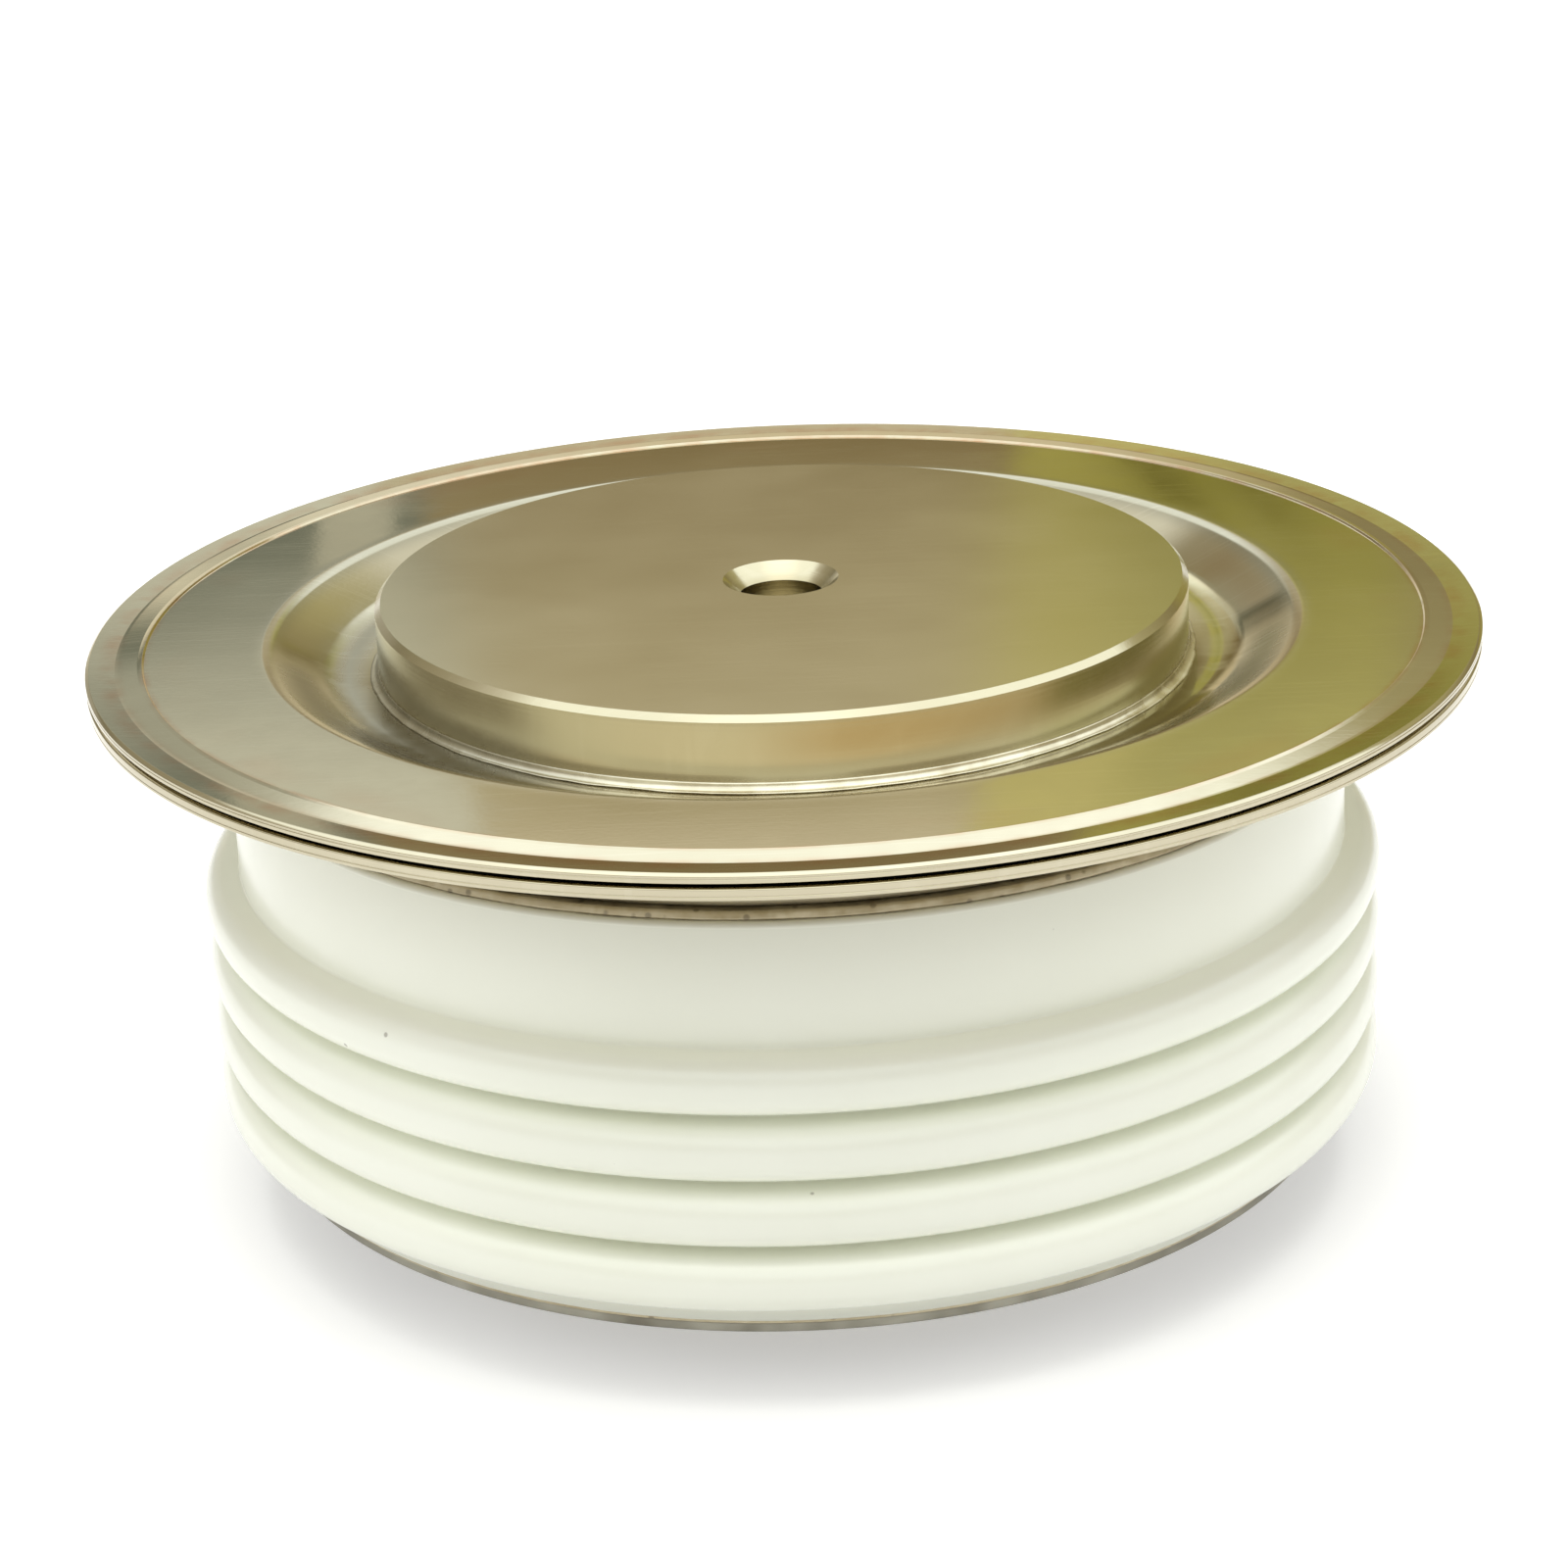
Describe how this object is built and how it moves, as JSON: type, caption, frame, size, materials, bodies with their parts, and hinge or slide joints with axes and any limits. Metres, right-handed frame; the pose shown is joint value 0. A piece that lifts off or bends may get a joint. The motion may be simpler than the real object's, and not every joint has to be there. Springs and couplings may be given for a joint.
{
  "type": "disc type press pack thyristor module",
  "caption": "Round press pack thyristor with two copper contact faces, a stamped welded flange, a white ribbed ceramic housing and a gate terminal at the back.",
  "frame": {"origin": "centre of the lower (anode) contact face", "axes": "+Z along the axis of the disc, from the anode contact face to the cathode contact face; +Y towards the gate terminal"},
  "size_m": [0.058, 0.058, 0.026],
  "materials": {
    "nickel_pole": "matt nickel plate over turned copper",
    "pole_braze": "bright flowed silver braze under nickel plate",
    "nickel_sheet": "satin nickel plate on a stamped sheet",
    "dark_nickel_sheet": "dull dark nickel plate",
    "ceramic_braze": "mottled light brown braze",
    "glazed_alumina": "white glaze with a soft sheen",
    "silver": "plain silver",
    "molybdenum": "lapped molybdenum",
    "silicon": "etched silicon",
    "silicone": "cured silicone",
    "white_insulator": "turned white fluoropolymer",
    "spring_steel": "drawn spring wire"
  },
  "bodies": {
    "root": {"cathode_pole": "nickel_pole", "cathode_pole_braze": "pole_braze", "cathode_diaphragm": "nickel_sheet", "ceramic_weld_ring": "nickel_sheet", "ceramic_top_braze": "ceramic_braze", "ceramic_housing": "glazed_alumina", "ceramic_bottom_braze": "ceramic_braze", "anode_flange": "dark_nickel_sheet", "anode_pole_braze": "pole_braze", "anode_pole": "nickel_pole", "anode_silver_foil": "silver", "anode_molybdenum_disc": "molybdenum", "silicon_wafer": "silicon", "wafer_edge_seal": "silicone", "centring_ring": "white_insulator", "cathode_molybdenum_disc": "molybdenum", "gate_bush": "white_insulator", "gate_contact_pin": "silver", "gate_spring": "spring_steel", "gate_spring_washer": "white_insulator", "gate_lead": "silver", "gate_lead_sleeve": "white_insulator", "gate_tube": "nickel_sheet", "gate_tube_braze": "ceramic_braze"}
  },
  "joints": []
}
